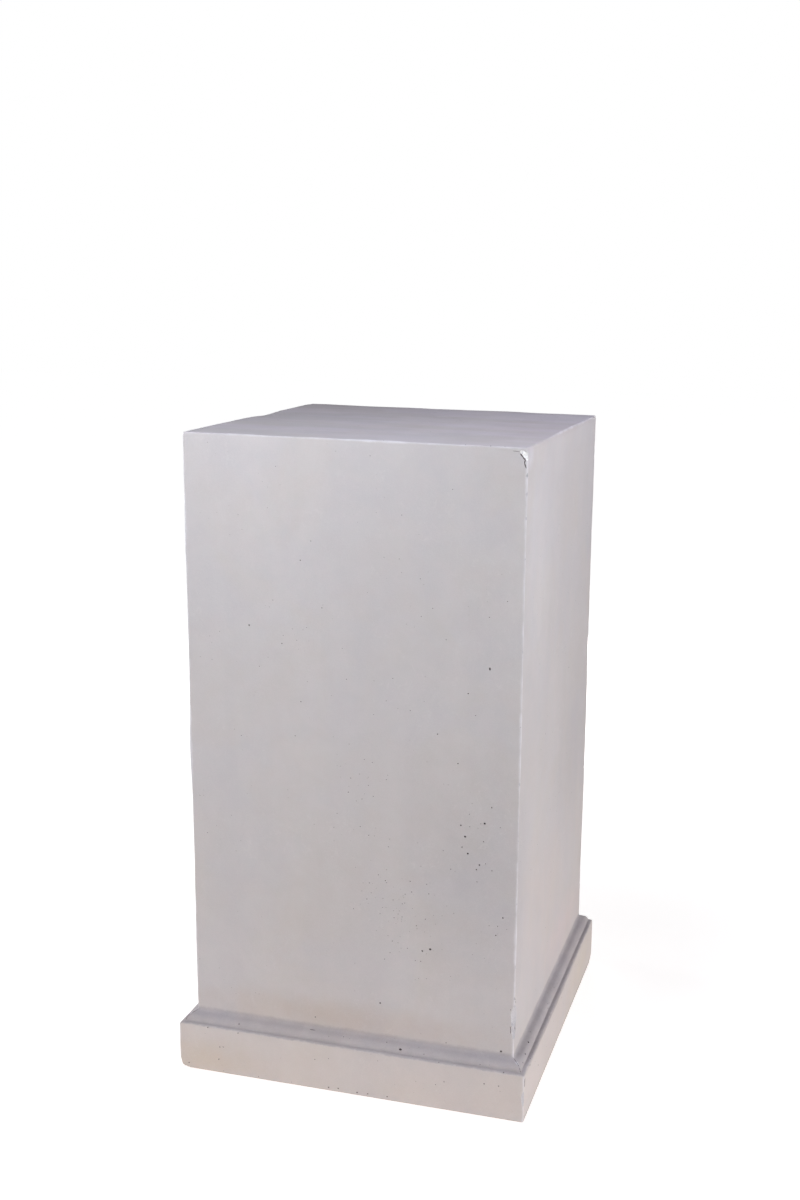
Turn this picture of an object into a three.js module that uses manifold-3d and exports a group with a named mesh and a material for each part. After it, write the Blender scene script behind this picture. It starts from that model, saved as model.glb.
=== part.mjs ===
// A square decorative column, cast in one piece: a plain shaft on a low moulded base, with its chipped edges.
// Millimetres, +Z up. The origin is the middle of the underside, and the front looks along -Y.
import * as THREE from "three";
import { mergeVertices } from "three/addons/utils/BufferGeometryUtils.js";
import Module from "manifold-3d";

const wasm = await Module();
wasm.setup();

// Driving dimensions
const HEIGHT = 900;
const BASE_WIDTH = 500;
const SHAFT_WIDTH = 458;
const PLINTH_HEIGHT = 70;
const SHAFT_FOOT = 83.5; // where the plain shaft rises out of the moulding

// Edges: the radius of each arris, and the steps in a quarter turn
const SHAFT_ARRIS = 3.5;
const PLINTH_ARRIS = 7;
const UNDERSIDE_ARRIS = 7;
const QUARTER_STEPS = 6;

// The moulding on top of the plinth: a rolled edge, a shallow groove, and a flat bead with a cove above it.
// Each turn is an angle in degrees, counted round the arc's centre from level.
const ROLL_RADIUS = 5;
const ROLL_END_TURN = 80;
const BEAD_RADIUS = 18.5;
const BEAD_FOOT_TURN = 24;
const BEAD_TOP_TURN = 74;
const BEAD_OUT = 14.2; // how far the bead's foot stands out from the shaft
const COVE_HEIGHT = 2.2;

const HALF_BASE = BASE_WIDTH / 2;
const HALF_SHAFT = SHAFT_WIDTH / 2;
const QUARTER = Math.PI / 2;

// Chips knocked off the front right corner, which runs up at x = HALF_SHAFT, y = -HALF_SHAFT.
// middle is the flake's centre, half its three half sizes, and turn its heading about the corner in degrees.
const CHIPS = [
  { middle: [HALF_SHAFT + 1, -HALF_SHAFT - 1, HEIGHT - 1], half: [9, 7, 17], turn: 20 },
  { middle: [HALF_SHAFT + 3, -HALF_SHAFT - 2, HEIGHT - 34], half: [6, 5, 12], turn: 55 },
  { middle: [HALF_SHAFT + 2, -HALF_SHAFT - 2.5, 129], half: [9, 6, 24], turn: 35 },
  { middle: [HALF_BASE + 1, -HALF_BASE - 1, 57], half: [6, 5, 9], turn: 50 },
];
const CHIP_ROUGHNESS = 1; // how often a flake's faces are split

// A closed geometry as a solid that can be cut and joined
function solidOf(geometry) {
  geometry.deleteAttribute("normal");
  geometry.deleteAttribute("uv");
  const merged = mergeVertices(geometry);
  const mesh = new wasm.Mesh({
    numProp: 3,
    vertProperties: new Float32Array(merged.attributes.position.array),
    triVerts: new Uint32Array(merged.index.array),
  });
  return new wasm.Manifold(mesh);
}

function geometryOf(solid) {
  const mesh = solid.getMesh();
  const geometry = new THREE.BufferGeometry();
  geometry.setAttribute("position", new THREE.BufferAttribute(mesh.vertProperties, 3));
  geometry.setIndex(new THREE.BufferAttribute(mesh.triVerts, 1));
  geometry.computeVertexNormals();
  return geometry;
}

// A square with rounded corners, centred on the axis
function roundedSquare(width, radius) {
  const inner = width / 2 - radius;
  const shape = new THREE.Shape();
  shape.absarc(inner, inner, radius, 0, QUARTER);
  shape.absarc(-inner, inner, radius, QUARTER, 2 * QUARTER);
  shape.absarc(-inner, -inner, radius, 2 * QUARTER, 3 * QUARTER);
  shape.absarc(inner, -inner, radius, 3 * QUARTER, 4 * QUARTER);
  return shape;
}

function roundedPrism(width, radius, height) {
  const shape = roundedSquare(width, radius);
  return new THREE.ExtrudeGeometry(shape, {
    depth: height,
    bevelEnabled: false,
    curveSegments: QUARTER_STEPS,
  });
}

// A profile of half widths and heights, run round a square with mitred corners
function squareTurned(profile) {
  const onDiagonal = profile.map((p) => new THREE.Vector2(p.x * Math.SQRT2, p.y));
  return new THREE.LatheGeometry(onDiagonal, 4, Math.PI / 4).rotateX(QUARTER);
}

// The base seen in section, from the middle of the underside to the top of the moulding
function baseProfile() {
  const path = new THREE.Path();
  const { degToRad } = THREE.MathUtils;
  const footTurn = degToRad(BEAD_FOOT_TURN);
  const topTurn = degToRad(BEAD_TOP_TURN);
  const beadX = HALF_SHAFT + BEAD_OUT - BEAD_RADIUS * Math.cos(footTurn);
  const beadTop = SHAFT_FOOT - COVE_HEIGHT;
  const beadZ = beadTop - BEAD_RADIUS * Math.sin(topTurn);
  const rollX = HALF_BASE - ROLL_RADIUS;
  const rollZ = PLINTH_HEIGHT - ROLL_RADIUS;
  path.moveTo(0, 0);
  path.lineTo(HALF_BASE - UNDERSIDE_ARRIS, 0);
  path.absarc(HALF_BASE - UNDERSIDE_ARRIS, UNDERSIDE_ARRIS, UNDERSIDE_ARRIS, -QUARTER, 0);
  path.absarc(rollX, rollZ, ROLL_RADIUS, 0, degToRad(ROLL_END_TURN));
  path.absarc(beadX, beadZ, BEAD_RADIUS, footTurn, topTurn);
  path.quadraticCurveTo(HALF_SHAFT, beadTop, HALF_SHAFT, SHAFT_FOOT);
  path.lineTo(0, SHAFT_FOOT);
  return path.getPoints(QUARTER_STEPS / 2);
}

// The shaft in section. It starts inside the base, so only its rolled top edge and its sides show.
function shaftProfile() {
  const path = new THREE.Path();
  const start = PLINTH_HEIGHT / 2;
  path.moveTo(0, start);
  path.lineTo(HALF_SHAFT, start);
  path.absarc(HALF_SHAFT - SHAFT_ARRIS, HEIGHT - SHAFT_ARRIS, SHAFT_ARRIS, 0, QUARTER);
  path.lineTo(0, HEIGHT);
  return path.getPoints(QUARTER_STEPS / 2);
}

// A turned profile with the four upright corners rounded off
function squareSolid(profile, width, arris) {
  const prism = roundedPrism(width, arris, HEIGHT);
  return solidOf(squareTurned(profile)).intersect(solidOf(prism));
}

function chip({ middle, half, turn }) {
  const flake = new THREE.IcosahedronGeometry(1, CHIP_ROUGHNESS);
  flake.scale(...half);
  flake.rotateZ(THREE.MathUtils.degToRad(turn));
  flake.translate(...middle);
  return solidOf(flake);
}

function castColumn() {
  const base = squareSolid(baseProfile(), BASE_WIDTH, PLINTH_ARRIS);
  const shaft = squareSolid(shaftProfile(), SHAFT_WIDTH, SHAFT_ARRIS);
  const whole = base.add(shaft);
  return CHIPS.reduce((solid, place) => solid.subtract(chip(place)), whole);
}

const plaster = new THREE.MeshStandardMaterial({ color: "#c6c1c2", roughness: 0.75, metalness: 0 });
const column = new THREE.Mesh(geometryOf(castColumn()), plaster);
column.name = "column";

const part = new THREE.Group();
part.add(column);
export default part;
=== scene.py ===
"""A square decorative column, cast in one piece of pale plaster, with its air holes, chips and worn edges.

Metres, +Z up. The origin is the middle of the underside, and the front looks along -Y.
"""
import math
import random

import bmesh
import bpy
from mathutils import Matrix, Vector


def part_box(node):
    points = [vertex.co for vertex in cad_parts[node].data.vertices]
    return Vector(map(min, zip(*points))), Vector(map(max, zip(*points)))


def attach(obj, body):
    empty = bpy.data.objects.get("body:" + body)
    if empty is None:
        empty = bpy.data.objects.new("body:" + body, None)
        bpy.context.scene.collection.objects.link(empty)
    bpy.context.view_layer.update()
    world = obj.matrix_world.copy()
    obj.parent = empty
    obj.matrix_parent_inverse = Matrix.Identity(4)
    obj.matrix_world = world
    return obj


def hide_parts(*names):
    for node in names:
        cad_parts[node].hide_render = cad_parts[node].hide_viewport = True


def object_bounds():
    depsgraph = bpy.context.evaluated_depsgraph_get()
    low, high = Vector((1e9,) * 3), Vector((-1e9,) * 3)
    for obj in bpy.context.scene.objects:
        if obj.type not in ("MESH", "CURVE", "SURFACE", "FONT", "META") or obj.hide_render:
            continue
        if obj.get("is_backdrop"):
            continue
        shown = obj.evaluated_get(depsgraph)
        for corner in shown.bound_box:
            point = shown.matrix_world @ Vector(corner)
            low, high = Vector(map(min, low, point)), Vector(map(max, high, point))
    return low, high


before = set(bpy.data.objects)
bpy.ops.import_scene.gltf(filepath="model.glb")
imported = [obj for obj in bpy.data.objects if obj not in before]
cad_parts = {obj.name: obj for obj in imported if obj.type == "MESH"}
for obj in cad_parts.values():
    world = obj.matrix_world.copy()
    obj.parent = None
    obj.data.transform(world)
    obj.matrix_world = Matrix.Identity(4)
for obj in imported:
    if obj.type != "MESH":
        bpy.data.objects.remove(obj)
cad_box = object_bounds()

MM = 0.001
UP = Vector((0, 0, 1))

# The column's main sizes: the base's width and the height come from the frame
HALF_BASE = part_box("column")[1].x
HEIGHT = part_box("column")[1].z
HALF_SHAFT = 230.2 * MM  # before the mould's waves, which take about a millimetre off it
PLINTH_HEIGHT = 70 * MM
SHAFT_FOOT = 85 * MM

# The moulding's section: the plinth's rolled edge, a flat ledge, a bead with a round nose and a sloping back,
# and a cove. Each turn is in degrees, counted round the arc's centre from level.
UNDERSIDE_ARRIS = 3 * MM
ROLL_RADIUS = 4 * MM
ROLL_END_TURN = 84
BEAD_RADIUS = 11.5 * MM
BEAD_FOOT_TURN = 4
BEAD_TOP_TURN = 71
BEAD_OUT = 13.4 * MM
COVE_OUT = 3.6 * MM
TOP_ARRIS = 3.2 * MM
UPRIGHT_ARRIS = 1.6 * MM
ARC_STEPS = 5
COVE_STEPS = 4
BEAD_STEPS = 8

# The mesh
FACE_LENGTH = 8 * MM  # the length of a face on the plain sides
SLIVER = 0.002 * MM  # faces thinner than this are left out
ON_DIAGONAL = 0.1 * MM  # how far off the diagonal a point of a corner may lie
CLIMB = 0.01 * MM  # an edge that rises more than this isn't level
SMOOTHING = 0.5  # how far a point goes towards its neighbours' middle when a spot is smoothed
SMOOTH_ANGLE = math.radians(35)  # faces that meet at more than this look sharp

# Slow waves left by the mould, as the length of a wave and its full height
MOULD_WAVES = ((160 * MM, 1.8 * MM), (38 * MM, 0.7 * MM))
WAVE_CREST = 0.75  # the waves' level that stays on the true surface, so that they mostly lie under it
CREST_ROOM = 0.2 * MM  # how far the top lies low, so that no wave on it stands above the column's height

# Spots worn round: the middle, the reach along x, y and z, and how often the spot is smoothed
WORN_SPOTS = (
    ((HALF_BASE, HALF_BASE, 0), (24 * MM, 24 * MM, 26 * MM), 9),
    ((HALF_BASE, HALF_BASE, PLINTH_HEIGHT / 2), (20 * MM, 20 * MM, 45 * MM), 7),
    ((-HALF_BASE, HALF_BASE, PLINTH_HEIGHT / 2), (18 * MM, 18 * MM, 60 * MM), 5),
    ((HALF_SHAFT, -175 * MM, HEIGHT), (26 * MM, 75 * MM, 26 * MM), 8),
    ((-HALF_SHAFT, HALF_SHAFT, HEIGHT), (22 * MM, 26 * MM, 20 * MM), 8),
    ((-HALF_SHAFT, -HALF_SHAFT, HEIGHT), (12 * MM, 12 * MM, 14 * MM), 3),
    ((HALF_SHAFT, HALF_SHAFT, HEIGHT), (13 * MM, 13 * MM, 16 * MM), 4),
)

# Lumps and dents on the edges: the middle, how far it is pushed, and how far round it the push dies out
LUMPS = (
    ((-HALF_SHAFT, -HALF_SHAFT, 465 * MM), (-1.3 * MM, -0.5 * MM, 0), 70 * MM),
    ((-HALF_SHAFT, 38 * MM, HEIGHT), (1.0 * MM, 0, -1.6 * MM), 55 * MM),
)

# The plinth's corner at the front left, which is worn round
WORN_CORNER = Vector((-HALF_BASE, -HALF_BASE, 0))
CORNER_PUSH = (1.9 * MM, 1.3 * MM, 1.7 * MM)  # how far it is pushed in
CORNER_GRIP = 0.85 * UNDERSIDE_ARRIS  # the points this near to it are pushed all the way
CORNER_REACH = 15 * MM  # how far round it the push dies out
CORNER_PASSES = 4  # how often it is smoothed
CORNER_EDGE = 4 * MM  # edges longer than this are split there
CORNER_CUTS = 3  # how often they are split

# Sides by name: which way each one looks, the way to its right as seen from outside, and the way to its top
SIDES = {
    "front": (Vector((0, -1, 0)), Vector((1, 0, 0)), UP),
    "right": (Vector((1, 0, 0)), Vector((0, 1, 0)), UP),
    "back": (Vector((0, 1, 0)), Vector((-1, 0, 0)), UP),
    "left": (Vector((-1, 0, 0)), Vector((0, -1, 0)), UP),
    "top": (UP, Vector((1, 0, 0)), Vector((0, 1, 0))),
    "underside": (-UP, Vector((1, 0, 0)), Vector((0, -1, 0))),
}

# The flat lay-out of the sides: where the lower left corner of each lies, in base widths
LAYOUT_WIDTH = 3.0
LAYOUT_MARGIN = 0.012
LAYOUT = {
    "front": (0, 0),
    "right": (1, 0),
    "back": (2, 0),
    "left": (0, 1.8),
    "top": (1.8, 1.8),
    "underside": (2.8, 1.8),
}
UNDERSIDE_SHRINK = 0.18  # the underside never shows, so it is laid out small

# Slots of the column's materials after the cast face: a fresh break, a worn break, and the dark painted shade
# inside air holes and cracks
BREAK_SLOT, WORN_SLOT, HOLE_SHADE_SLOT = 1, 2, 3

# Chips off the front right corner, in millimetres: the middle, the half sizes along the chip, into it and
# up it, and how far its length is turned from the front, in degrees
FRESH_CHIPS = (
    ((222.8, -232, 893.4), (3.8, 4.6, 2.8), -8),
    ((226.4, -232.2, 890.2), (4.4, 5.2, 4.6), -20),
    ((228.6, -231.8, 886.4), (2.8, 4.2, 3.8), -30),
)
WORN_CHIPS = (
    ((233.6, -225.4, 139), (13, 9, 19), 70),
    ((234.6, -227.2, 120), (10, 8.4, 16), 70),
    ((251.2, -251.5, 35), (8, 4.7, 14), 30),
)
# A chip that takes the dark painted shade of the air holes, as the shadow of a step at the plinth's front
# right corner
SHADOW_PAINTED_CHIPS = (
    ((250.7, -245.5, 58), (2.6, 1.8, 10), 90),
)
CHIP_ROUGHNESS = 0.18  # as a share of the smallest half size
SEED_COUNT = 1000  # how many seeds a draw picks from

# Small nicks up the front right corner: the height and the half size, in millimetres
CORNER_NICKS = (
    (866, 2.2), (842, 1.6), (812, 1.8), (780, 2.0), (761, 1.4), (700, 1.2), (642, 1.3), (560, 1.2),
    (467, 2.0), (390, 1.2), (302, 1.5), (214, 1.7), (168, 1.4), (156, 1.6),
)
NICK_OUT = (-0.7, 0.3)  # how far out of the corner its middle lies, in millimetres
NICK_DEPTH = 0.8  # as a share of the half size
NICK_HEIGHT = (1.0, 2.0)  # the least and the most, as a share of the half size
NICK_TILT = (-0.5, 0.5)  # in radians
ANY_TURN = (0, 3)  # in radians
NICK_ROUGHNESS = 0.3  # in millimetres

# Cracks: each is a line of points near the surface in millimetres, and its half width
CRACKS = (
    (((220.4, -230, 891), (223.6, -230, 887.6), (226.4, -230, 884.2)), 0.85),
    (((226.4, -230, 884.2), (225.4, -230, 880.4), (227.8, -230, 874.4)), 0.75),
    (((199, -230, 894.6), (203, -230, 894.2)), 0.32),
    (((211, -230, 894.4), (218.5, -230, 894)), 0.32),
    (((231, -231, 83), (235, -235, 78), (239, -239, 76), (242, -242, 73), (243.4, -243.4, 70)), 0.55),
    (((-230.6, -231.6, 83), (-234.8, -236, 78.6), (-239.6, -240.8, 75.6), (-242.4, -243.4, 71)), 0.5),
    (((224.2, -230, 127), (225.2, -230, 121), (225, -230, 117)), 0.45),
    (((-58.4, -235, 81.8), (-51.2, -235, 81.2)), 0.55),
)
CRACK_REACH = 0.6  # the half length of a stretch of a crack, as a share of the way to its next point

# Flecks knocked out beside the mitre of the front right corner: the middle and the half size, in millimetres
MITRE_FLECKS = (
    ((236, -233.5, 78), 0.8),
    ((239.5, -237, 76.4), 1.0),
    ((241.5, -239, 74.6), 0.7),
    ((243, -240.6, 72), 0.9),
    ((235, -237, 78), 0.7),
)
FLECK_HEIGHT = 0.7  # as a share of the half size
FLECK_ROUGHNESS = 0.2  # as a share of the half size

# Soft patches of tone: the middle and the reach in millimetres, and the tint at the middle.
# Most are painted light and shade: the darker patches on the front and the right side, the paler ones
# up the right side, a darker strip across the top, and a dark line of painted shade along the right
# plinth's ledge. Three others make the front's foot warmer and darker and the right plinth yellower,
# and the pale lilac patch by the chipped top corner is wear.
STAINS_AND_PAINTED_SHADING = (
    ((180, -230, 340), (140, 80, 220), (0.9, 0.905, 0.92)),
    ((-40, -230, 240), (260, 80, 240), (0.965, 0.965, 0.96)),
    ((-20, -232, 104), (300, 50, 36), (0.965, 0.91, 0.86)),
    ((-205, -250, 18), (120, 60, 46), (0.97, 0.93, 0.86)),
    # A dark line of painted shade along the right plinth's ledge
    ((250, -60, 67), (3, 230, 4.5), (0.72, 0.7, 0.72)),
    ((250, 150, 35), (40, 130, 50), (1.0, 0.995, 0.94)),
    ((230, 90, 125), (50, 200, 60), (1.08, 1.015, 1.0)),
    ((230, 120, 410), (80, 190, 180), (0.93, 0.93, 0.935)),
    ((230, -80, 240), (60, 240, 150), (1.025, 0.995, 0.975)),
    ((230, -150, 740), (60, 130, 220), (1.09, 1.1, 1.105)),
    ((195, -10, 900), (120, 210, 14), (0.93, 0.915, 0.925)),
    ((230, -214, 887), (26, 26, 22), (1.1, 1.11, 1.16)),
)
STAIN_AND_SHADING_RAGGEDNESS = 0.5
STAIN_AND_SHADING_RIM = (1.25, 0.25)  # where a stain starts and where it is full, as a share of its reach

# Air holes that stand out: the side, the place across it and the height, and the half width and half height,
# all in millimetres
AIR_HOLES = (
    ("front", 187, 617, 1.2, 2.4),
    ("front", 159, 582, 1.0, 0.9),
    ("front", 119, 524, 1.0, 1.0),
    ("front", 147, 487, 1.0, 1.0),
    ("front", 193, 432, 0.9, 1.2),
    ("front", 184, 409, 1.5, 1.3),
    ("front", 152, 403, 1.3, 1.0),
    ("front", 158, 388, 1.5, 1.4),
    ("front", 183, 384, 0.8, 1.1),
    ("front", 154, 373, 0.9, 0.9),
    ("front", 162, 365, 1.4, 1.3),
    ("front", 178, 351, 1.2, 1.2),
    ("front", 174, 344, 1.1, 0.9),
    ("front", 195, 345, 0.8, 1.1),
    ("front", 211, 281, 1.1, 1.1),
    ("front", 202, 255, 1.0, 0.9),
    ("front", 101, 218, 1.3, 1.3),
    ("front", 112, 222, 1.6, 1.5),
    ("front", 42, 133, 1.3, 1.2),
    ("front", 212.5, 88.5, 1.5, 1.5),
    ("front", 221, 69, 1.0, 0.8),
    ("front", 136, 88.7, 0.9, 0.8),
    ("front", 224.2, 151, 0.7, 0.9),
    ("front", 75, 75, 2.2, 1.3),
    ("front", -69, 550, 0.9, 0.9),
    ("front", -141, 648, 1.2, 1.1),
    ("front", -95, 627, 0.9, 0.9),
    ("front", -68, 740, 0.9, 0.9),
    ("front", 135, 843, 0.8, 0.8),
    ("front", 69, 807, 0.8, 0.8),
    ("front", 94, 727, 0.8, 0.8),
    ("front", 111, 690, 0.8, 0.8),
    ("front", 208, 706, 0.8, 0.9),
    ("front", 185, 684, 0.8, 0.8),
    ("front", -162, 75, 1.0, 0.9),
    ("front", -206, 67, 1.1, 0.9),
    ("front", -160, 66, 1.0, 0.9),
    ("front", -188, 40, 1.0, 1.0),
    ("front", -183, 41, 0.9, 0.9),
    ("front", -190, 21, 1.0, 1.0),
    ("front", -236, 8, 1.1, 1.0),
    ("front", 195, 49, 1.0, 1.0),
    ("front", 215, 49, 0.9, 0.9),
    ("front", -52.6, 97, 1.1, 0.8),
    ("front", -183, 4, 0.8, 0.6),
    ("front", -130, 4.2, 0.8, 0.7),
    ("front", -81, 4, 0.7, 0.6),
    ("front", -26, 5.6, 1.2, 1.0),
    ("front", -12, 6.4, 1.1, 0.9),
    ("front", 15.5, 5, 1.3, 1.0),
    ("front", 31, 5.6, 1.1, 0.9),
    ("front", 59, 6, 1.2, 1.0),
    ("top", 150, -227, 1.1, 0.9),
    ("top", 182, -227.4, 1.0, 0.8),
    ("top", 200, -227, 0.9, 0.8),
    ("top", 44, -227.3, 0.8, 0.7),
    ("right", -178.5, 78, 1.4, 1.2),
    ("right", -206, 76, 1.3, 0.9),
    ("right", -214, 65.5, 1.3, 1.0),
    ("right", -225, 74, 1.2, 0.9),
    ("right", -226.6, 166, 1.4, 0.8),
    ("right", -225, 161, 1.4, 0.8),
    ("right", -160, 35, 1.0, 1.0),
    ("right", 75, 543, 1.0, 1.0),
)

# Clusters of fine air holes: the side, the middle across it and up it, the spread across and up, and how many
HOLE_SEED = 7
HOLE_CLUSTERS = (
    ("front", 18, 445, 22, 26, 22),
    ("front", 28, 378, 18, 14, 9),
    ("front", 76, 258, 24, 32, 56),
    ("front", 40, 300, 40, 34, 24),
    ("front", 160, 380, 24, 30, 10),
    ("front", 205, 268, 10, 14, 5),
    ("front", -100, 640, 40, 30, 12),
    ("front", 100, 700, 70, 70, 12),
    ("front", 0, 500, 110, 170, 30),
    ("front", 0, 38, 150, 12, 16),
    ("front", 40, 75, 120, 4, 10),
    ("right", -40, 300, 60, 60, 18),
    ("right", 90, 620, 50, 90, 14),
    ("right", 0, 480, 110, 190, 26),
    ("right", 0, 40, 130, 12, 14),
    ("right", -60, 75, 110, 4, 8),
    ("back", 60, 330, 40, 50, 26),
    ("back", -110, 600, 40, 60, 16),
    ("back", 0, 480, 110, 190, 34),
    ("back", 0, 40, 130, 12, 14),
    ("left", -70, 420, 45, 50, 24),
    ("left", 120, 250, 30, 50, 14),
    ("left", 0, 500, 110, 190, 34),
    ("left", 0, 40, 130, 12, 14),
    ("top", 60, 40, 60, 50, 16),
    ("top", -40, -30, 110, 110, 24),
)
FINE_HOLE = (0.4, 0.9)  # the least and the most half width, in millimetres
EDGE_MARGIN = 8  # how far a fine hole stays from a side's edges, in millimetres
HOLE_DEPTH = 0.35  # how far an air hole's middle lies under the surface, as a share of its half width
HOLE_ROUGHNESS = 0.15  # as a share of its half width
HOLE_SPACING = 2  # the least way between the middles of two holes, as a share of their half widths together
HOLE_OVALNESS = (0.8, 1.2)  # the height of a fine hole, as a share of its width

# Nicks in the edges that don't show from the front: how many to an edge, and their half size in millimetres
NICK_SEED = 11
NICKS_PER_EDGE = 7
NICK_SIZE = (1.2, 3.4)
HIDDEN_NICK_ALONG = (0.15, 0.85)  # where it lies on its own stretch of the edge
HIDDEN_NICK_OUT = 0.35  # how far out of the edge its middle lies, as a share of the half size
HIDDEN_NICK_SINK = 1.3 * MM  # and how far in again
HIDDEN_NICK_DEPTH = (0.6, 1.0)  # as a share of the half size
HIDDEN_NICK_HEIGHT = (0.8, 1.6)  # as a share of the half size
HIDDEN_NICK_ROUGHNESS = 0.12  # as a share of the half size

# Patterns of the plaster: the noise's waves to the metre, detail, roughness and distortion, then the levels
# of the noise between which the pattern goes from nothing to one, or from a low value to a high one
PATTERNS = {
    "clouds": ((8.0, 4.0, 0.6, 0.5), (0.34, 0.66)),
    "blotches": ((26.0, 4.0, 0.62, 0.4), (0.3, 0.7)),
    "streaks": ((16.0, 3.0, 0.55, 0.0), (0.3, 0.7)),
    "faint_tints": ((50.0, 5.0, 0.7, 0.0), (0.35, 0.65)),
    "top_bands": ((22.0, 3.0, 0.6, 0.3), (0.36, 0.64)),
    "scuffs": ((110.0, 5.0, 0.7, 1.2), (0.52, 0.7)),
    "scuff_groups": ((11.0, 3.0, 0.55, 0.0), (0.42, 0.62)),
    "pin_hole_groups": ((9.0, 2.0, 0.55, 0.0), (0.52, 0.62)),
    "dust_and_shade_patches": ((36.0, 4.0, 0.65, 0.0), (0.32, 0.62, 0.74, 1.0)),
}
RAGGED = (45.0, 4.0, 0.6, 0.0)  # the noise that borders stray by
FRAYED = (210.0, 3.0, 0.6, 0.0)  # and a finer one
STREAK_STRETCH = (1.0, 1.0, 0.1)
BAND_STRETCH = (0.16, 1.0, 1.0)

# Tones as they look on a screen, from 0 to 255. All but the clouds are laid over what is under them: first
# comes how much of the tone is laid on.
CLOUD_TONES = ((202, 194, 189), (200, 194, 193))
BLOTCH = (0.55, (208, 201, 198))
STREAK = (0.25, (194, 187, 187))
SCUFF = (0.22, (216, 211, 210))
# The pale line along the edges is wear and a painted highlight
WORN_EDGE_AND_HIGHLIGHT = (0.66, (228, 226, 232))
SAND = (0.08, (228, 224, 224))
# The pin holes' dark tone is painted shade inside them
PIN_HOLE_SHADE = (0.6, (120, 110, 110))

# Tints that a tone is multiplied by
FAINT_TINT = (1.015, 0.995, 1.0, 1)
# Painted light: the shaft is greyed so that the plinth stays paler and warmer, as if lit from the floor
SHAFT_SHADE_TINT = (0.94, 0.965, 1.0, 1)
# The moulding's tint is dust and painted shade: darker and cooler where its hollows face up
MOULDING_DUST_AND_SHADE = (0.765, 0.76, 0.8, 1)
TOP_TINTS = ((0.945, 0.945, 0.925, 1), (1.02, 1.005, 1.03, 1))

# Heights between which a tone comes in, and how far its border strays
SHAFT_SHADE_START = (PLINTH_HEIGHT - 2 * MM, PLINTH_HEIGHT + 50 * MM)
SHAFT_SHADE_STRAY = 14 * MM
# Where the moulding's dust and painted shade come in and end
DUST_AND_SHADE_START = (PLINTH_HEIGHT - 0.3 * MM, PLINTH_HEIGHT + 1.4 * MM)
DUST_AND_SHADE_END = (SHAFT_FOOT + 7 * MM, SHAFT_FOOT + 1 * MM)
DUST_AND_SHADE_STRAY = 5 * MM
DUST_AND_SHADE_FRAY = 3 * MM
TOP_START = (HEIGHT - 4 * MM, HEIGHT - 2 * MM)
# Where the edges' wear and painted highlight come in
EDGE_WEAR_AND_HIGHLIGHT_START = (-2 * MM, 2 * MM)  # from the edge itself, outwards
EDGE_WEAR_AND_HIGHLIGHT_STRAY = 5 * MM

# Pin holes, too small for the mesh: cells to the metre, the rim of a hole as a share of its cell, which cells
# have a hole, and its depth against the grain's
PIN_HOLE_CELLS = 170.0
PIN_HOLE_RIM = (0.13, 0.07)
PIN_HOLES_KEPT = (0.7, 0.74)
PIN_HOLE_DEPTH = 1.5

# The plaster's grain: the noise's waves to the metre, detail and roughness
FINE_GRAIN = (420.0, 4.0, 0.6)
BROAD_GRAIN = (60.0, 3.0, 0.5)
SAND_GRAIN = (900.0, 2.0, 0.5)
BROAD_SHARE = 1.6  # the broad grain's height against the fine one's
SAND_LEVELS = (0.35, 0.65)
RELIEF_DEPTH = 0.6 * MM
CAST_COARSENESS = 1.0
CAST_RELIEF = 0.25
CAST_ROUGHNESS = (0.72, 0.88)
BREAK_ROUGHNESS = 0.9
SPECULAR_LEVEL = 0.25

# The materials after the cast face, in the order of their slots: the name, how coarse the grain is, the dark
# and the pale tone, and how strong the relief is
BREAKS = (
    ("fresh_break", 1.6, (238, 236, 236), (252, 251, 251), 0.6),
    ("worn_break", 1.3, (191, 188, 193), (202, 199, 203), 0.5),
    # The air hole's dark tones are painted shade, for the insides of holes, cracks and a chip
    ("air_hole_shade", 0.8, (96, 88, 90), (128, 118, 118), 0.3),
)

# The camera, from the photograph: a picture of 800 by 1200 pixels, its focal length and its centre in pixels
PICTURE_WIDTH = 800
PICTURE_HEIGHT = 1200
FOCAL_PIXELS = 1434
CENTRE_PIXEL = (480.4, 594.35)
SENSOR_WIDTH = 36
CAMERA_PLACE = (615.4 * MM, -1926.4 * MM, 1100.1 * MM)
CAMERA_TURN = math.radians(-14.618)
CAMERA_DIP = math.radians(12.46)
CAMERA_ROLL = math.radians(1.009)

# The studio: the floor gives warm light back near the column, and the camera sees it fade to white further
# off
FLOOR_SIZE = 24
FLOOR_DROP = 0.2 * MM  # how far it lies under the column, so that the two never share a plane
FLOOR_COLOUR = (0.8, 0.77, 0.74, 1)
FLOOR_FADE = (0.45, 2.0)  # where the fade starts and ends, in metres from the axis
FLOOR_GLOW = (0.66, 1.0)  # the glow that the camera sees there
FLOOR_WARMTH = (1.0, 0.783, 0.65, 1)  # the colour of the light that the floor gives back
FLOOR_BOUNCE = (0.345, 0.0)  # its strength near the column and further off
BOUNCE_REACH = (0.85, 1.15)  # where it dies out, in metres from the axis

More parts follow.
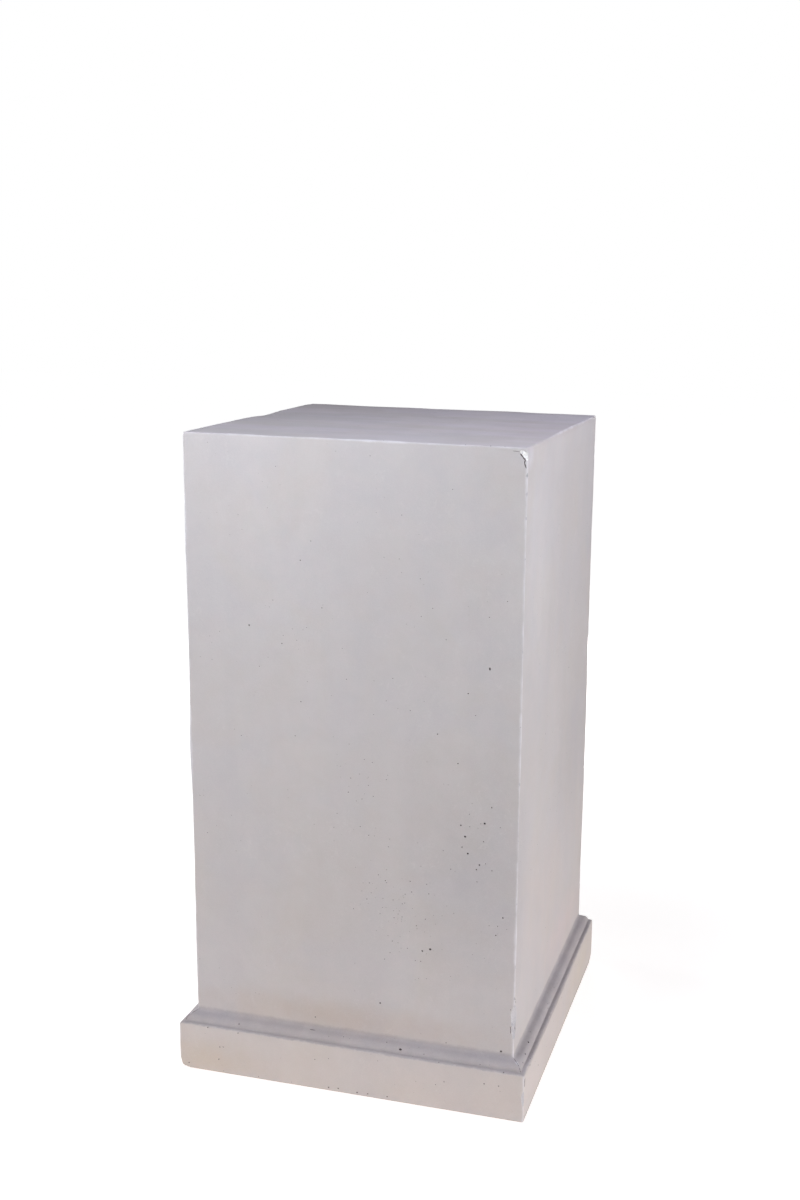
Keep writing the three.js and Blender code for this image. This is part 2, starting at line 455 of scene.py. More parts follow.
# Soft boxes: the name, the place, the point it is aimed at, its size, its power in watts and its colour
COLUMN_MIDDLE = (0, 0, 0.55)
SOFT_BOXES = (
    ("front_box", (-1.869, -2.375, 0.4), COLUMN_MIDDLE, 0.76, 25.8, (0.985, 1.0, 0.992)),
    ("right_box", (3.046, -0.981, 0.4), COLUMN_MIDDLE, 0.76, 61, (0.976, 0.991, 1.0)),
    ("near_front_box", (-0.303, -0.923, 1.459), COLUMN_MIDDLE, 0.5, 7.5, (0.885, 0.931, 1.0)),
    ("near_right_box", (0.597, -0.059, 1.565), COLUMN_MIDDLE, 0.5, 4.0, (0.85, 0.86, 1.0)),
    ("high_box", (-0.316, -0.51, 2.752), COLUMN_MIDDLE, 0.6, 9.4, (0.895, 0.885, 1.0)),
    ("left_box", (-2.4, 0.4, 0.45), COLUMN_MIDDLE, 0.8, 26, (0.99, 0.99, 1.0)),
    ("back_box", (-0.4, 2.4, 0.45), COLUMN_MIDDLE, 0.8, 26, (0.99, 0.99, 1.0)),
)


# Working with operators

def start_fresh():
    """Leaves nothing selected, so that the next operator acts on its own piece alone."""
    bpy.ops.object.select_all(action="DESELECT")


def take_up(piece):
    """Makes a piece the only one selected, and the active one."""
    start_fresh()
    piece.select_set(True)
    bpy.context.view_layer.objects.active = piece


def pick(kind, test):
    """In edit mode, selects the vertices, edges or faces that pass a test, and nothing else."""
    bpy.ops.mesh.select_mode(type=kind)
    bpy.ops.mesh.select_all(action="DESELECT")
    mesh = bpy.context.object.data
    shape = bmesh.from_edit_mesh(mesh)
    for part in {"VERT": shape.verts, "EDGE": shape.edges, "FACE": shape.faces}[kind]:
        if test(part):
            part.select_set(True)
    shape.select_flush_mode()
    bmesh.update_edit_mesh(mesh)


def finish_modifiers(piece):
    """Applies every modifier of a piece, in order."""
    take_up(piece)
    for name in [modifier.name for modifier in piece.modifiers]:
        bpy.ops.object.modifier_apply(modifier=name)


# The cast column

def arc(half, height, radius, first_turn, last_turn, steps):
    """Points of a moulding's section on an arc, as half widths and heights. Turns are in degrees."""
    points = []
    for step in range(steps + 1):
        turn = math.radians(first_turn + (last_turn - first_turn) * step / steps)
        points.append((half + radius * math.cos(turn), height + radius * math.sin(turn)))
    return points


def hollow(start, corner, end, steps):
    """Points after the first on a hollow curve that leaves towards a corner and ends upright."""
    points = []
    for step in range(1, steps + 1):
        t = step / steps
        weights = ((1 - t) ** 2, 2 * t * (1 - t), t**2)
        points.append(tuple(sum(w * p[i] for w, p in zip(weights, (start, corner, end))) for i in (0, 1)))
    return points


def column_section():
    """The section up one side, from the underside's edge to the edge of the top."""
    bead_half = HALF_SHAFT + BEAD_OUT - BEAD_RADIUS * math.cos(math.radians(BEAD_FOOT_TURN))
    bead_height = PLINTH_HEIGHT - BEAD_RADIUS * math.sin(math.radians(BEAD_FOOT_TURN))
    bead = arc(bead_half, bead_height, BEAD_RADIUS, BEAD_FOOT_TURN, BEAD_TOP_TURN, BEAD_STEPS)
    nose_half, nose_height = bead[-1]
    rise = 1 / math.tan(math.radians(BEAD_TOP_TURN))
    cove_start = (HALF_SHAFT + COVE_OUT, nose_height + rise * (nose_half - HALF_SHAFT - COVE_OUT))
    cove_corner = (HALF_SHAFT, cove_start[1] + rise * COVE_OUT)
    return [
        *arc(HALF_BASE - UNDERSIDE_ARRIS, UNDERSIDE_ARRIS, UNDERSIDE_ARRIS, -90, 0, ARC_STEPS),
        *arc(HALF_BASE - ROLL_RADIUS, PLINTH_HEIGHT - ROLL_RADIUS, ROLL_RADIUS, 0, ROLL_END_TURN, ARC_STEPS),
        *bead,
        cove_start,
        *hollow(cove_start, cove_corner, (HALF_SHAFT, SHAFT_FOOT), COVE_STEPS),
        *arc(HALF_SHAFT - TOP_ARRIS, HEIGHT - CREST_ROOM - TOP_ARRIS, TOP_ARRIS, 0, 90, ARC_STEPS),
    ]


def with_stations(section, length):
    """A section with more points, so that no step along it is longer than a face."""
    points = [section[0]]
    for (half, height), (next_half, next_height) in zip(section, section[1:]):
        steps = math.ceil(math.hypot(next_half - half, next_height - height) / length)
        for step in range(1, steps + 1):
            t = step / steps
            points.append((half + (next_half - half) * t, height + (next_height - height) * t))
    return points


def run_up(section):
    """Extrudes a square grid up through a section, so that its corners are mitred."""
    half, height = section[0]
    across = math.ceil(2 * HALF_SHAFT / FACE_LENGTH)
    bpy.ops.mesh.primitive_grid_add(
        x_subdivisions=across, y_subdivisions=across, size=2 * half, location=(0, 0, height)
    )
    bpy.ops.object.mode_set(mode="EDIT")
    for next_half, next_height in section[1:]:
        bpy.ops.mesh.extrude_region_move(TRANSFORM_OT_translate={"value": (0, 0, next_height - height)})
        grow = next_half / half
        bpy.ops.transform.resize(value=(grow, grow, 1), center_override=(0, 0, next_height))
        half, height = next_half, next_height
    bpy.ops.mesh.select_all(action="SELECT")
    bpy.ops.mesh.normals_make_consistent(inside=False)


def is_mitre(edge):
    """Whether an edge runs up one of the four corners."""
    on_diagonal = all(math.isclose(abs(v.co.x), abs(v.co.y), abs_tol=ON_DIAGONAL) for v in edge.verts)
    climbs = abs(edge.verts[0].co.z - edge.verts[1].co.z) > CLIMB
    outside = all(abs(v.co.x) > HALF_SHAFT - TOP_ARRIS for v in edge.verts)
    return on_diagonal and climbs and outside


def in_spot(place, middle, reach):
    """Whether a place lies in the egg-shaped spot round a middle."""
    off = place - Vector(middle)
    return sum((off[i] / reach[i]) ** 2 for i in range(3)) < 1


def wear_spots():
    """Smooths the worn spots round, on the piece in edit mode."""
    for middle, reach, passes in WORN_SPOTS:
        pick("VERT", lambda vertex: in_spot(vertex.co, middle, reach))
        bpy.ops.mesh.vertices_smooth(factor=SMOOTHING, repeat=passes)


def push_softly(push, reach):
    """Pushes the points selected in edit mode, and less and less of what lies within reach of them."""
    bpy.ops.transform.translate(
        value=push,
        use_proportional_edit=True,
        proportional_edit_falloff="SMOOTH",
        proportional_size=reach,
    )


def push_lumps():
    """Pushes the lumps and dents of the edges, on the piece in edit mode."""
    for middle, push, reach in LUMPS:
        pick("VERT", lambda vertex: (vertex.co - Vector(middle)).length < FACE_LENGTH)
        push_softly(push, reach)


def near_corner(place, reach):
    """Whether a place lies within reach of the worn corner."""
    return (place - WORN_CORNER).length < reach


def is_split(edge):
    """Whether an edge is long, and near enough to the worn corner to be split."""
    near = any(near_corner(v.co, 2 * CORNER_REACH) for v in edge.verts)
    return near and edge.calc_length() > CORNER_EDGE


def wear_corner():
    """Splits the edges round the worn corner and pushes it in, on the piece in edit mode."""
    pick("EDGE", is_split)
    bpy.ops.mesh.subdivide(number_cuts=CORNER_CUTS)
    pick("VERT", lambda vertex: near_corner(vertex.co, CORNER_GRIP))
    push_softly(CORNER_PUSH, CORNER_REACH)
    pick("VERT", lambda vertex: near_corner(vertex.co, CORNER_REACH))
    bpy.ops.mesh.vertices_smooth(factor=SMOOTHING, repeat=CORNER_PASSES)


def add_mould_waves(column):
    """Gives the sides and the top the slow waves of a casting. The underside stays flat."""
    group = column.vertex_groups.new(name="off_the_floor")
    group.add([v.index for v in column.data.vertices if v.co.z > UNDERSIDE_ARRIS], 1.0, "ADD")
    for number, (length, height) in enumerate(MOULD_WAVES):
        texture = bpy.data.textures.new(f"mould_wave_{number}", "CLOUDS")
        texture.noise_scale = length
        texture.noise_depth = 1
        waves = column.modifiers.new(f"mould_wave_{number}", "DISPLACE")
        waves.texture = texture
        waves.texture_coords = "LOCAL"
        waves.vertex_group = group.name
        waves.strength = height
        waves.mid_level = WAVE_CREST
    finish_modifiers(column)


def make_column():
    """The casting as it left the mould and as it has worn since, without its holes and chips."""
    start_fresh()
    run_up(with_stations(column_section(), FACE_LENGTH))
    pick("EDGE", is_mitre)
    bpy.ops.mesh.bevel(offset=UPRIGHT_ARRIS, segments=ARC_STEPS, affect="EDGES", clamp_overlap=True)
    wear_spots()
    push_lumps()
    wear_corner()
    bpy.ops.object.mode_set(mode="OBJECT")
    column = bpy.context.object
    column.name = "cast_column"
    bpy.ops.object.transform_apply(location=True, rotation=True, scale=True)
    add_mould_waves(column)
    return column


# Holes and chips

def on_surface(column, side, across, height):
    """The point of a side's surface at a place across it and up it, and the way the side looks."""
    way, to_right, to_top = SIDES[side]
    start = way * 2 * HEIGHT + to_right * across + to_top * height
    _, place, _, _ = column.ray_cast(start, -way)
    return place, way


def start_cutter(name, materials, slot):
    """A new empty mesh in edit mode, which takes the shapes that are cut out of the column."""
    start_fresh()
    mesh = bpy.data.meshes.new(name)
    for material in materials:
        mesh.materials.append(material)
    cutter = bpy.data.objects.new(name, mesh)
    bpy.context.scene.collection.objects.link(cutter)
    take_up(cutter)
    cutter.active_material_index = slot
    bpy.ops.object.mode_set(mode="EDIT")
    return cutter


def add_ball(place, half, turn=(0, 0, 0), detail=2):
    """Adds a ball to the cutter in edit mode, with its half sizes and its turn in radians."""
    bpy.ops.mesh.primitive_ico_sphere_add(
        subdivisions=detail, radius=1, location=place, scale=half, rotation=turn
    )


def roughen(amount, seed):
    """Shakes the points that are selected in edit mode."""
    bpy.ops.transform.vertex_random(offset=amount, seed=seed)


def cut_out(column, cutter):
    """Cuts a cutter out of the column and throws the cutter away."""
    bpy.ops.mesh.select_all(action="SELECT")
    bpy.ops.object.material_slot_assign()
    bpy.ops.object.mode_set(mode="OBJECT")
    cut = column.modifiers.new("cut", "BOOLEAN")
    cut.operation = "DIFFERENCE"
    cut.solver = "MANIFOLD"
    cut.object = cutter
    finish_modifiers(column)
    bpy.data.meshes.remove(cutter.data)


def cut_chips(column, materials, chips, slot, detail=3):
    """Cuts chips off the front right corner, one at a time, because they run into each other."""
    for number, (middle, half, turn) in enumerate(chips):
        cutter = start_cutter("chip", materials, slot)
        add_ball(Vector(middle) * MM, Vector(half) * MM, (0, 0, math.radians(turn)), detail)
        roughen(CHIP_ROUGHNESS * min(half) * MM, number)
        cut_out(column, cutter)


def cut_corner_nicks(column, materials):
    """Nicks up the front right corner."""
    cutter = start_cutter("corner_nicks", materials, WORN_SLOT)
    draw = random.Random(NICK_SEED)
    for height, size in CORNER_NICKS:
        out = draw.uniform(*NICK_OUT) * MM
        place = (HALF_SHAFT + out, -HALF_SHAFT - out, height * MM)
        half = (size * MM, size * MM * NICK_DEPTH, size * MM * draw.uniform(*NICK_HEIGHT))
        turn = tuple(draw.uniform(*limits) for limits in (NICK_TILT, NICK_TILT, ANY_TURN))
        add_ball(place, half, turn, detail=3)
        roughen(NICK_ROUGHNESS * MM, draw.randrange(SEED_COUNT))
    cut_out(column, cutter)


def cut_mitre_flecks(column, materials):
    """Pale flecks beside the dark crease of the mitre."""
    cutter = start_cutter("mitre_flecks", materials, WORN_SLOT)
    for number, (middle, size) in enumerate(MITRE_FLECKS):
        _, place, _, _ = column.closest_point_on_mesh(Vector(middle) * MM)
        add_ball(place, (size * MM, size * MM, FLECK_HEIGHT * size * MM))
        roughen(FLECK_ROUGHNESS * size * MM, number)
    cut_out(column, cutter)


def hidden_edges():
    """The edges that don't show from the front: two ends, and the way that points out of the edge."""
    half, base = HALF_SHAFT, HALF_BASE
    for x, y in ((1, 1), (-1, 1)):
        out = Vector((x, y, 0)).normalized()
        yield Vector((x * half, y * half, SHAFT_FOOT)), Vector((x * half, y * half, HEIGHT)), out
    for way, to_right, _ in (SIDES["back"], SIDES["left"]):
        out = (way + UP).normalized()
        top = way * half + UP * HEIGHT
        plinth = way * base + UP * PLINTH_HEIGHT
        yield top - to_right * half, top + to_right * half, out
        yield plinth - to_right * base, plinth + to_right * base, out


def cut_hidden_nicks(column, materials):
    """Nicks along the edges at the back and the left, in keeping with the ones in front."""
    cutter = start_cutter("hidden_nicks", materials, WORN_SLOT)
    draw = random.Random(NICK_SEED)
    for start, end, out in hidden_edges():
        for number in range(NICKS_PER_EDGE):
            along = (number + draw.uniform(*HIDDEN_NICK_ALONG)) / NICKS_PER_EDGE
            size = draw.uniform(*NICK_SIZE) * MM
            place = start.lerp(end, along) + out * (HIDDEN_NICK_OUT * size - HIDDEN_NICK_SINK)
            half = (size, size * draw.uniform(*HIDDEN_NICK_DEPTH), size * draw.uniform(*HIDDEN_NICK_HEIGHT))
            add_ball(place, half, tuple(draw.uniform(*ANY_TURN) for _ in range(3)), detail=3)
            roughen(HIDDEN_NICK_ROUGHNESS * size, draw.randrange(SEED_COUNT))
    cut_out(column, cutter)


def cut_cracks(column, materials):
    """Thin cracks, each a chain of long slivers from point to point."""
    for points, half_width in CRACKS:
        for start, end in zip(points, points[1:]):
            # the crack's faces take the dark painted shade of the air holes
            cutter = start_cutter("crack", materials, HOLE_SHADE_SLOT)
            start, end = (column.closest_point_on_mesh(Vector(point) * MM)[1] for point in (start, end))
            along = end - start
            half = (half_width * MM, half_width * MM, along.length * CRACK_REACH)
            add_ball((start + end) / 2, half, along.to_track_quat("Z", "Y").to_euler(), detail=3)
            cut_out(column, cutter)


def has_room(hole, taken):
    """Whether a fine air hole stays inside its side and clear of the holes that are there already."""
    side, across, height, width = hole
    reach = HALF_SHAFT / MM - EDGE_MARGIN
    low, high = (-reach, reach) if side == "top" else (EDGE_MARGIN, HEIGHT / MM - EDGE_MARGIN)
    if abs(across) >= reach or not low < height < high:
        return False
    return all(
        side != other_side or math.dist((across, height), place) > HOLE_SPACING * (width + other_width)
        for other_side, *place, other_width in taken
    )


def fine_holes(draw):
    """Places for the fine air holes: the side, the place across it and up it, and the half width."""
    taken = [(side, across, height, width) for side, across, height, width, _ in AIR_HOLES]
    for side, across, height, spread_across, spread_up, count in HOLE_CLUSTERS:
        for _ in range(count):
            place = (draw.gauss(across, spread_across), draw.gauss(height, spread_up))
            hole = (side, *place, draw.uniform(*FINE_HOLE))
            if has_room(hole, taken):
                taken.append(hole)
                yield hole


def cut_air_holes(column, materials):
    """Air holes: the larger ones in their places, and clusters of fine ones."""
    # the holes' insides take the dark painted shade
    cutter = start_cutter("air_holes", materials, HOLE_SHADE_SLOT)
    draw = random.Random(HOLE_SEED)
    holes = list(AIR_HOLES)
    holes += [(*hole, hole[3] * draw.uniform(*HOLE_OVALNESS)) for hole in fine_holes(draw)]
    for side, across, height, half_width, half_height in holes:
        place, way = on_surface(column, side, across * MM, height * MM)
        half = Vector((half_width, half_width, half_height)) * MM
        fine = half_width < FINE_HOLE[1]
        add_ball(place - way * HOLE_DEPTH * half.x, half, detail=1 if fine else 2)
        roughen(HOLE_ROUGHNESS * half.x, draw.randrange(SEED_COUNT))
    cut_out(column, cutter)


def drop_slivers(column):
    """Leaves out the faces that the cuts made too thin to see."""
    take_up(column)
    bpy.ops.object.mode_set(mode="EDIT")
    bpy.ops.mesh.select_all(action="SELECT")
    bpy.ops.mesh.dissolve_degenerate(threshold=SLIVER)
    bpy.ops.object.mode_set(mode="OBJECT")


# The flat lay-out

def side_of(place):
    """The side that a point of the surface lies on."""
    out = max(abs(place.x), abs(place.y))
    if place.z - HEIGHT > out - HALF_SHAFT:
        return "top"
    if -place.z > out - HALF_BASE:
        return "underside"
    return max(("front", "right", "back", "left"), key=lambda side: SIDES[side][0].dot(place))


def laid_out(side, place):
    """Where a point of a side lies on the flat lay-out."""
    _, to_right, to_top = SIDES[side]
    across = to_right.dot(place) / (2 * HALF_BASE) + 0.5
    up = to_top.dot(place) / (2 * HALF_BASE)
    if side in ("top", "underside"):
        up += 0.5
    if side == "left":
        across, up = HEIGHT / (2 * HALF_BASE) - up, across
    shrink = UNDERSIDE_SHRINK if side == "underside" else 1 - 2 * LAYOUT_MARGIN
    left, low = LAYOUT[side]
    return (
        (left + LAYOUT_MARGIN + across * shrink) / LAYOUT_WIDTH,
        (low + LAYOUT_MARGIN + up * shrink) / LAYOUT_WIDTH,
    )


def lay_out_sides(column):
    """Lays each side out flat, with its holes in their places, as the map that its textures are kept on."""
    mesh = column.data
    layout = mesh.uv_layers.new(name="OFBake")
    for face in mesh.polygons:
        side = side_of(face.center)
        for corner in face.loop_indices:
            place = mesh.vertices[mesh.loops[corner].vertex_index].co
            layout.data[corner].uv = laid_out(side, place)


# Materials

def paint(red, green, blue):
    """A colour as it looks on a screen, from 0 to 255, as the linear colour that a shader takes."""
    def straight(value):
        value /= 255
        return value / 12.92 if value <= 0.04045 else ((value + 0.055) / 1.055) ** 2.4

    return (straight(red), straight(green), straight(blue), 1.0)


def add(tree, kind, inputs=(), **settings):
    """Adds a node. An input that is another node's socket is linked, and any other value is set."""
    made = tree.nodes.new(kind)
    for name, value in settings.items():
        setattr(made, name, value)
    for name, value in dict(inputs).items():
        if isinstance(value, bpy.types.NodeSocket):
            tree.links.new(value, made.inputs[name])
        else:
            made.inputs[name].default_value = value
    return made


def sums(tree, operation, *values, clamp=False):
    """The result of a sum on numbers and sockets."""
    return add(tree, "ShaderNodeMath", enumerate(values), operation=operation, use_clamp=clamp).outputs[0]


def ramp(tree, value, start, end, low=0.0, high=1.0):
    """A value eased from low to high as it goes from start to end."""
    inputs = {"Value": value, "From Min": start, "From Max": end, "To Min": low, "To Max": high}
    return add(tree, "ShaderNodeMapRange", inputs, interpolation_type="SMOOTHSTEP").outputs["Result"]


def noise(tree, place, scale, detail, roughness, distortion=0.0):
    """Cloudy noise at a place, scale waves to the metre."""
    inputs = {
        "Vector": place, "Scale": scale, "Detail": detail, "Roughness": roughness, "Distortion": distortion
    }
    return add(tree, "ShaderNodeTexNoise", inputs).outputs["Fac"]


def blend(tree, amount, first, second, kind="MIX"):
    """Two colours blended by an amount."""
    made = tree.nodes.new("ShaderNodeMix")
    made.data_type = "RGBA"
    made.blend_type = kind
    for index, value in ((0, amount), (6, first), (7, second)):
        if isinstance(value, bpy.types.NodeSocket):
            tree.links.new(value, made.inputs[index])
        else:
            made.inputs[index].default_value = value
    return made.outputs[2]


def pattern(tree, place, name):
    """One of the plaster's patterns at a place."""
    waves, levels = PATTERNS[name]
    return ramp(tree, noise(tree, place, *waves), *levels)


def stretched(tree, place, stretch):
    """A place for a pattern that is drawn out one way."""
    return add(tree, "ShaderNodeMapping", {"Vector": place, "Scale": stretch}).outputs["Vector"]


def lay_on(tree, mask, colour, tone):
    """Lays some of a tone on a colour, where a mask shows it."""
    amount, shade = tone
    return blend(tree, sums(tree, "MULTIPLY", mask, amount), colour, paint(*shade))


def grain_group():
    """The plaster's grain, for every surface of the casting: a fine height, and specks of sand."""
    group = bpy.data.node_groups.new("plaster_grain", "ShaderNodeTree")
    group.interface.new_socket("Place", in_out="INPUT", socket_type="NodeSocketVector")
    group.interface.new_socket("Coarseness", in_out="INPUT", socket_type="NodeSocketFloat")
    group.interface.new_socket("Height", in_out="OUTPUT", socket_type="NodeSocketFloat")
    group.interface.new_socket("Specks", in_out="OUTPUT", socket_type="NodeSocketFloat")
    start = group.nodes.new("NodeGroupInput")
    place, coarseness = start.outputs["Place"], start.outputs["Coarseness"]

    def layer(waves, detail, roughness):
        return noise(group, place, sums(group, "DIVIDE", waves, coarseness), detail, roughness)

    height = sums(group, "MULTIPLY_ADD", layer(*BROAD_GRAIN), BROAD_SHARE, layer(*FINE_GRAIN))
    end = group.nodes.new("NodeGroupOutput")
    group.links.new(height, end.inputs["Height"])
    group.links.new(ramp(group, layer(*SAND_GRAIN), *SAND_LEVELS), end.inputs["Specks"])
    return group


def plaster_surface(name, grain, coarseness):
    """A new matte material with the plaster's grain, then its tree, shader, place and grain node."""
    material = bpy.data.materials.new(name)
    material.use_nodes = True
    tree = material.node_tree
    shader = tree.nodes["Principled BSDF"]
    shader.inputs["Specular IOR Level"].default_value = SPECULAR_LEVEL
    place = add(tree, "ShaderNodeTexCoord").outputs["Object"]
    grained = add(tree, "ShaderNodeGroup", {"Place": place, "Coarseness": coarseness}, node_tree=grain)
    return material, tree, shader, place, grained


def set_relief(tree, shader, height, strength):
    """Gives a surface a fine relief."""
    bump = add(tree, "ShaderNodeBump", {"Height": height, "Strength": strength, "Distance": RELIEF_DEPTH})
    tree.links.new(bump.outputs["Normal"], shader.inputs["Normal"])


def edge_and_height(tree, place):
    """How near a place is to an edge, nothing on the edge and less away from it, and how high it lies."""
    x, y, z = add(tree, "ShaderNodeSeparateXYZ", {"Vector": place}).outputs
    x, y = (sums(tree, "ABSOLUTE", value) for value in (x, y))
    half = ramp(tree, z, PLINTH_HEIGHT, SHAFT_FOOT, HALF_BASE, HALF_SHAFT)
    upright = sums(tree, "SUBTRACT", sums(tree, "ADD", x, y), sums(tree, "MULTIPLY", half, 2.0))
    top = sums(tree, "SUBTRACT", sums(tree, "ADD", sums(tree, "MAXIMUM", x, y), z), HALF_SHAFT + HEIGHT)
    return sums(tree, "MAXIMUM", upright, top), z


def pin_holes(tree, place):
    """Tiny holes, in loose clusters: one in a hole and nothing around it."""
    cells = add(tree, "ShaderNodeTexVoronoi", {"Vector": place, "Scale": PIN_HOLE_CELLS})
    hole = ramp(tree, cells.outputs["Distance"], *PIN_HOLE_RIM)
    chosen = add(tree, "ShaderNodeSeparateColor", {"Color": cells.outputs["Color"]}).outputs["Red"]
    kept = sums(tree, "MULTIPLY", hole, ramp(tree, chosen, *PIN_HOLES_KEPT))
    return sums(tree, "MULTIPLY", kept, pattern(tree, place, "pin_hole_groups"))


def cloudy_tone(tree, place):
    """The casting's own tone, of clouds, blotches and soft streaks down the sides, and the blotches alone."""
    olive, lilac = (paint(*tone) for tone in CLOUD_TONES)
    blotches = pattern(tree, place, "blotches")
    streaks = pattern(tree, stretched(tree, place, STREAK_STRETCH), "streaks")
    colour = blend(tree, pattern(tree, place, "clouds"), olive, lilac)
    colour = lay_on(tree, blotches, colour, BLOTCH)
    colour = blend(tree, pattern(tree, place, "faint_tints"), colour, FAINT_TINT, "MULTIPLY")
    return lay_on(tree, streaks, colour, STREAK), blotches


def top_bands(tree, place, z, colour):
    """The colour with soft bands across the top, lilac and olive, as a float leaves them."""
    bands = pattern(tree, stretched(tree, place, BAND_STRETCH), "top_bands")
    return blend(tree, ramp(tree, z, *TOP_START), colour, blend(tree, bands, *TOP_TINTS), "MULTIPLY")


def scuffs(tree, place):
    """Where the cast face is rubbed: thin pale patches, in loose groups."""
    return sums(tree, "MULTIPLY", pattern(tree, place, "scuffs"), pattern(tree, place, "scuff_groups"))


def stained_and_shaded(tree, place, ragged, colour):
    """The colour with soft patches of stain and of painted light and shade, each darkest or palest at its
    middle and ragged at its rim.
    """
    for middle, reach, tint in STAINS_AND_PAINTED_SHADING:
        off = add(tree, "ShaderNodeVectorMath", {0: place, 1: Vector(middle) * MM}, operation="SUBTRACT")
        whole_and_part = {0: off.outputs[0], 1: Vector(reach) * MM}
        share = add(tree, "ShaderNodeVectorMath", whole_and_part, operation="DIVIDE")
        away = add(tree, "ShaderNodeVectorMath", {0: share.outputs[0]}, operation="LENGTH").outputs["Value"]
        away = sums(tree, "MULTIPLY_ADD", ragged, STAIN_AND_SHADING_RAGGEDNESS, away)
        colour = blend(tree, ramp(tree, away, *STAIN_AND_SHADING_RIM), colour, (*tint, 1), "MULTIPLY")
    return colour


def dusty_and_shaded(tree, place, z, ragged, colour):
    """The colour darker and cooler in the moulding, as dust and as painted shade in its hollows that face up,
    patchy and frayed at its border.
    """
    level = sums(tree, "MULTIPLY_ADD", ragged, DUST_AND_SHADE_STRAY, z)
    frayed = sums(tree, "SUBTRACT", noise(tree, place, *FRAYED), 0.5)
    level = sums(tree, "MULTIPLY_ADD", frayed, DUST_AND_SHADE_FRAY, level)
    moulding = sums(tree, "MULTIPLY", ramp(tree, level, *DUST_AND_SHADE_START), ramp(tree, level, *DUST_AND_SHADE_END))
    # dust here stands for dust and painted shade together
    dust = sums(tree, "MULTIPLY", moulding, pattern(tree, place, "dust_and_shade_patches"))
    return blend(tree, dust, colour, MOULDING_DUST_AND_SHADE, "MULTIPLY")


def cast_plaster(grain):
    """The cast face: cloudy, greyer on the shaft as painted light on the plinth, with stains and painted
    light and shade in soft patches, scuffs, dust and painted shade in the moulding, worn edges with a painted
    highlight, and pin holes with painted shade in them.
    """
    material, tree, shader, place, grained = plaster_surface("cast_plaster", grain, CAST_COARSENESS)
    edge, z = edge_and_height(tree, place)
    ragged = noise(tree, place, *RAGGED)
    holes = pin_holes(tree, place)
    colour, blotches = cloudy_tone(tree, place)

    # painted light: the shaft greyer, the plinth paler and warmer as if lit from the floor
    level = sums(tree, "MULTIPLY_ADD", ragged, SHAFT_SHADE_STRAY, z)
    colour = blend(tree, ramp(tree, level, *SHAFT_SHADE_START), colour, SHAFT_SHADE_TINT, "MULTIPLY")
    # stains, and painted light and shade, in soft patches
    colour = stained_and_shaded(tree, place, ragged, colour)
    colour = top_bands(tree, place, z, colour)
    colour = lay_on(tree, scuffs(tree, place), colour, SCUFF)
    colour = dusty_and_shaded(tree, place, z, ragged, colour)
    # worn marks the edges' wear and their painted highlight together
    worn = ramp(tree, sums(tree, "MULTIPLY_ADD", ragged, EDGE_WEAR_AND_HIGHLIGHT_STRAY, edge), *EDGE_WEAR_AND_HIGHLIGHT_START)
    colour = lay_on(tree, worn, colour, WORN_EDGE_AND_HIGHLIGHT)
    colour = lay_on(tree, grained.outputs["Specks"], colour, SAND)
    # painted shade inside the pin holes
    colour = lay_on(tree, holes, colour, PIN_HOLE_SHADE)
    tree.links.new(colour, shader.inputs["Base Color"])

    tree.links.new(ramp(tree, blotches, 0.0, 1.0, *CAST_ROUGHNESS), shader.inputs["Roughness"])
    sunk = sums(tree, "MULTIPLY", holes, PIN_HOLE_DEPTH)
    set_relief(tree, shader, sums(tree, "SUBTRACT", grained.outputs["Height"], sunk), CAST_RELIEF)
    return material


def broken_plaster(grain, name, coarseness, dark, pale, strength):
    """Plaster under the cast face, or the painted shade inside holes and cracks: rough, with specks of two
    tones.
    """
    material, tree, shader, _, grained = plaster_surface(name, grain, coarseness)
    colour = blend(tree, grained.outputs["Specks"], paint(*dark), paint(*pale))
    tree.links.new(colour, shader.inputs["Base Color"])
    shader.inputs["Roughness"].default_value = BREAK_ROUGHNESS
    set_relief(tree, shader, grained.outputs["Height"], strength)
    return material


# The studio

def make_camera():
    """A camera at the photograph's place, with its picture shifted as in the photograph."""
    forward = Vector((
        math.sin(CAMERA_TURN) * math.cos(CAMERA_DIP),
        math.cos(CAMERA_TURN) * math.cos(CAMERA_DIP),
        -math.sin(CAMERA_DIP),
    ))
    level = forward.cross(UP).normalized()
    upright = level.cross(forward)
    to_right = level * math.cos(CAMERA_ROLL) + upright * math.sin(CAMERA_ROLL)
    to_top = upright * math.cos(CAMERA_ROLL) - level * math.sin(CAMERA_ROLL)
    turned = Matrix((to_right, to_top, -forward)).transposed()
    lens = bpy.data.cameras.new("camera")
    lens.sensor_width = SENSOR_WIDTH
    lens.lens = FOCAL_PIXELS / PICTURE_HEIGHT * SENSOR_WIDTH
    lens.shift_x = (PICTURE_WIDTH / 2 - CENTRE_PIXEL[0]) / PICTURE_HEIGHT
    lens.shift_y = (CENTRE_PIXEL[1] - PICTURE_HEIGHT / 2) / PICTURE_HEIGHT
    camera = bpy.data.objects.new("camera", lens)
    camera.matrix_world = Matrix.Translation(CAMERA_PLACE) @ turned.to_4x4()
    bpy.context.scene.collection.objects.link(camera)
    bpy.context.scene.camera = camera


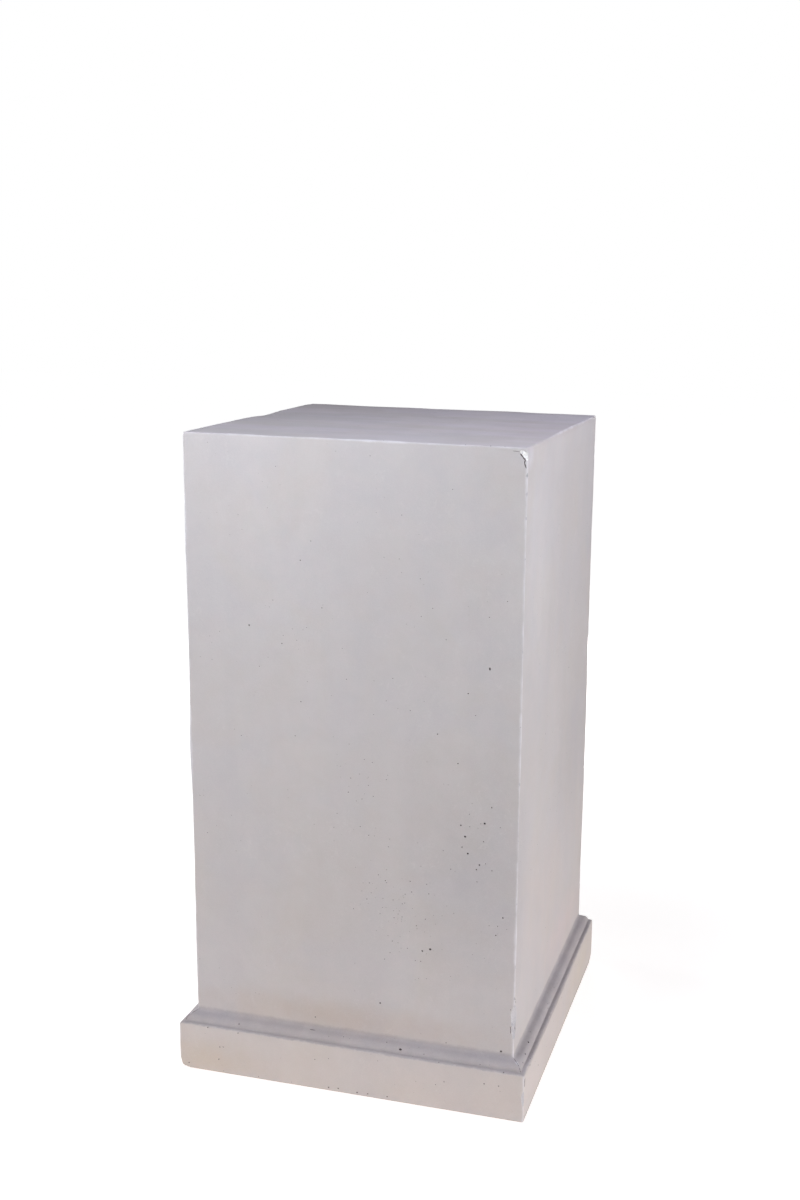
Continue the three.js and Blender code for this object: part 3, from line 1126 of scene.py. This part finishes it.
def make_floor():
    """A wide pale floor with the column's soft shadow on it, which the camera sees fade to white."""
    start_fresh()
    bpy.ops.mesh.primitive_plane_add(size=FLOOR_SIZE, location=(0, 0, -FLOOR_DROP))
    floor = bpy.context.object
    floor.name = "floor"
    bpy.ops.object.transform_apply(location=True, rotation=True, scale=True)
    material = bpy.data.materials.new("floor")
    material.use_nodes = True
    tree = material.node_tree
    tree.nodes.clear()
    place = add(tree, "ShaderNodeTexCoord").outputs["Object"]
    away = add(tree, "ShaderNodeVectorMath", {0: place}, operation="LENGTH").outputs["Value"]
    seen = add(tree, "ShaderNodeLightPath").outputs["Is Camera Ray"]
    matte = add(tree, "ShaderNodeBsdfDiffuse", {"Color": FLOOR_COLOUR})
    glow = add(tree, "ShaderNodeEmission", {"Strength": ramp(tree, away, *FLOOR_FADE, *FLOOR_GLOW)})
    bounce = ramp(tree, away, *BOUNCE_REACH, *FLOOR_BOUNCE)
    warmth = add(tree, "ShaderNodeEmission", {"Color": FLOOR_WARMTH, "Strength": bounce})
    shine = add(tree, "ShaderNodeMixShader", {0: seen, 1: warmth.outputs[0], 2: glow.outputs[0]})
    both = add(tree, "ShaderNodeAddShader", {0: matte.outputs[0], 1: shine.outputs[0]})
    add(tree, "ShaderNodeOutputMaterial", {"Surface": both.outputs[0]})
    floor.data.materials.append(material)
    floor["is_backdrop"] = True


def make_world():
    """White behind everything, for the camera alone: the soft boxes give all the light."""
    world = bpy.data.worlds.new("studio")
    world.use_nodes = True
    tree = world.node_tree
    tree.nodes.clear()
    seen = add(tree, "ShaderNodeLightPath").outputs["Is Camera Ray"]
    white = add(tree, "ShaderNodeBackground", {"Color": (1, 1, 1, 1), "Strength": seen})
    add(tree, "ShaderNodeOutputWorld", {"Surface": white.outputs[0]})
    bpy.context.scene.world = world


def make_lights():
    """Soft boxes, each aimed at a point of the column."""
    for name, place, aim, size, power, colour in SOFT_BOXES:
        lamp = bpy.data.lights.new(name, "AREA")
        lamp.size = size
        lamp.energy = power
        lamp.color = colour
        box = bpy.data.objects.new(name, lamp)
        box.location = place
        box.visible_camera = False
        box.rotation_euler = (Vector(aim) - Vector(place)).to_track_quat("-Z", "Y").to_euler()
        bpy.context.scene.collection.objects.link(box)


# The whole scene

grain = grain_group()
finishes = [cast_plaster(grain), *(broken_plaster(grain, *kind) for kind in BREAKS)]
column = make_column()
for finish in finishes:
    column.data.materials.append(finish)
cut_chips(column, finishes, FRESH_CHIPS, BREAK_SLOT, detail=2)
cut_chips(column, finishes, WORN_CHIPS, WORN_SLOT)
# a chip with painted shadow on its faces
cut_chips(column, finishes, SHADOW_PAINTED_CHIPS, HOLE_SHADE_SLOT)
cut_corner_nicks(column, finishes)
cut_mitre_flecks(column, finishes)
cut_hidden_nicks(column, finishes)
cut_cracks(column, finishes)
cut_air_holes(column, finishes)
drop_slivers(column)
lay_out_sides(column)
take_up(column)
bpy.ops.object.shade_smooth_by_angle(angle=SMOOTH_ANGLE)

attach(column, "root")
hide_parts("column")

make_floor()
make_world()
make_lights()
make_camera()
bpy.context.scene.view_settings.view_transform = "Standard"

boxes = {"cad": cad_box, "visual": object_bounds()}
{name: [list(corner) for corner in box] for name, box in boxes.items()}
